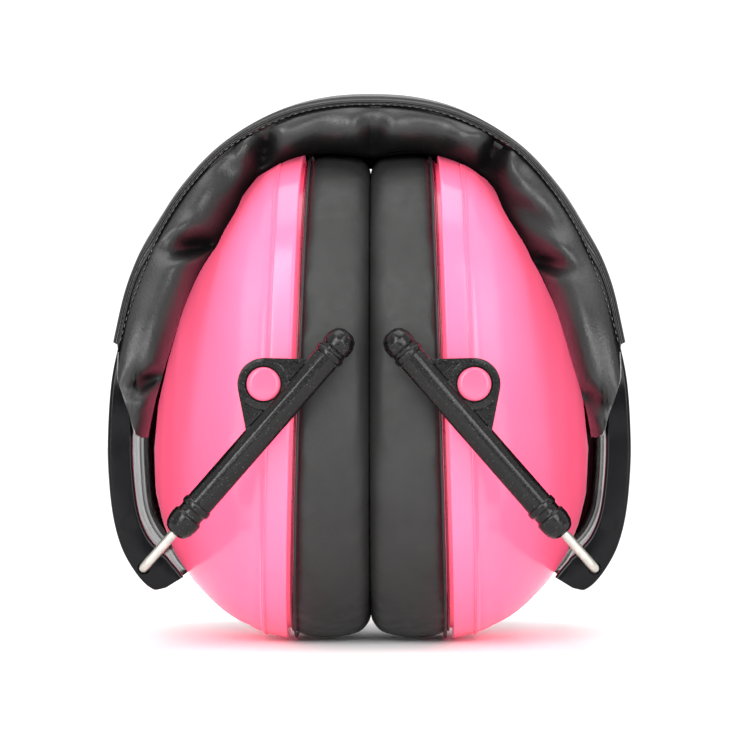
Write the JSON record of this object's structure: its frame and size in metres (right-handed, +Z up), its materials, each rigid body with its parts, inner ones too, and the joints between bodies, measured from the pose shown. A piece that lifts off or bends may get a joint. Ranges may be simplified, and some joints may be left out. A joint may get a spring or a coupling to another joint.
{
  "type": "hearing protection earmuffs",
  "caption": "Folding passive earmuffs, folded for storage: ear cups with ring cushions, swinging arms on bent wires, and a wide padded headband.",
  "frame": {"origin": "on the surface the two cups stand on, half way between the cups", "axes": "+Z up through the crown of the headband, +X across from the left cup to the right cup, +Y from the front pair of arms to the rear pair"},
  "size_m": [0.1024, 0.0926, 0.1135],
  "materials": {
    "pink_plastic": "gloss",
    "black_plastic": "satin gloss",
    "leatherette": "fine grain, satin",
    "foam": "open cell foam",
    "steel_wire": "drawn spring wire"
  },
  "bodies": {
    "crown": {"headband_crown": "black_plastic", "cover_crown": "leatherette", "headband_foam_crown": "foam"},
    "left_band": {"headband_left": "black_plastic", "cover_left": "leatherette", "headband_foam_left": "foam"},
    "left_wire": {"wire_left": "steel_wire"},
    "left_arms": {"arm_left_front": "black_plastic", "arm_left_rear": "black_plastic", "guide_cap_left_front": "black_plastic", "guide_cap_left_rear": "black_plastic"},
    "left_cup": {"cup_shell_left": "pink_plastic", "cushion_plate_left": "pink_plastic", "absorber_foam_left": "foam", "cushion_cover_left": "leatherette", "cushion_foam_left": "foam", "pivot_button_left_front": "pink_plastic", "pivot_button_left_rear": "pink_plastic"},
    "right_band": {"headband_right": "black_plastic", "cover_right": "leatherette", "headband_foam_right": "foam"},
    "right_wire": {"wire_right": "steel_wire"},
    "right_arms": {"arm_right_front": "black_plastic", "arm_right_rear": "black_plastic", "guide_cap_right_front": "black_plastic", "guide_cap_right_rear": "black_plastic"},
    "right_cup": {"cup_shell_right": "pink_plastic", "cushion_plate_right": "pink_plastic", "absorber_foam_right": "foam", "cushion_cover_right": "leatherette", "cushion_foam_right": "foam", "pivot_button_right_front": "pink_plastic", "pivot_button_right_rear": "pink_plastic"}
  },
  "joints": [
    {"name": "left_flex", "type": "hinge", "parent": "crown", "child": "left_band", "pos_m": [-0.02889, 0, 0.10451], "axis": [0, 1, 0], "range_deg": [0, 42], "deforming": ["cushion_cover_left", "cushion_foam_left"]},
    {"name": "left_swing", "type": "hinge", "parent": "left_band", "child": "left_wire", "pos_m": [-0.044, 0, 0.0168], "axis": [0, 1, 0], "range_deg": [0, 96.81]},
    {"name": "left_slide", "type": "slide", "parent": "left_wire", "child": "left_arms", "axis": [0.657, 0, 0.7539], "range_m": [0, 0.0141]},
    {"name": "left_pivot", "type": "hinge", "parent": "left_arms", "child": "left_cup", "pos_m": [-0.0205, 0, 0.0527], "axis": [0, -1, 0], "range_deg": [0, 138.81]},
    {"name": "right_flex", "type": "hinge", "parent": "crown", "child": "right_band", "pos_m": [0.02889, 0, 0.10451], "axis": [0, -1, 0], "range_deg": [0, 42], "deforming": ["cushion_cover_right", "cushion_foam_right"]},
    {"name": "right_swing", "type": "hinge", "parent": "right_band", "child": "right_wire", "pos_m": [0.044, 0, 0.0168], "axis": [0, -1, 0], "range_deg": [0, 96.81]},
    {"name": "right_slide", "type": "slide", "parent": "right_wire", "child": "right_arms", "axis": [-0.657, 0, 0.7539], "range_m": [0, 0.0141]},
    {"name": "right_pivot", "type": "hinge", "parent": "right_arms", "child": "right_cup", "pos_m": [0.0205, 0, 0.0527], "axis": [0, 1, 0], "range_deg": [0, 138.81]}
  ],
  "couplings": [
    {"joint": "left_swing", "follows": "left_flex", "ratio": 2.3048},
    {"joint": "left_slide", "follows": "left_flex", "m_per_rad": 0.0191},
    {"joint": "left_pivot", "follows": "left_flex", "ratio": 3.3048},
    {"joint": "right_swing", "follows": "right_flex", "ratio": 2.3048},
    {"joint": "right_slide", "follows": "right_flex", "m_per_rad": 0.0191},
    {"joint": "right_pivot", "follows": "right_flex", "ratio": 3.3048}
  ]
}
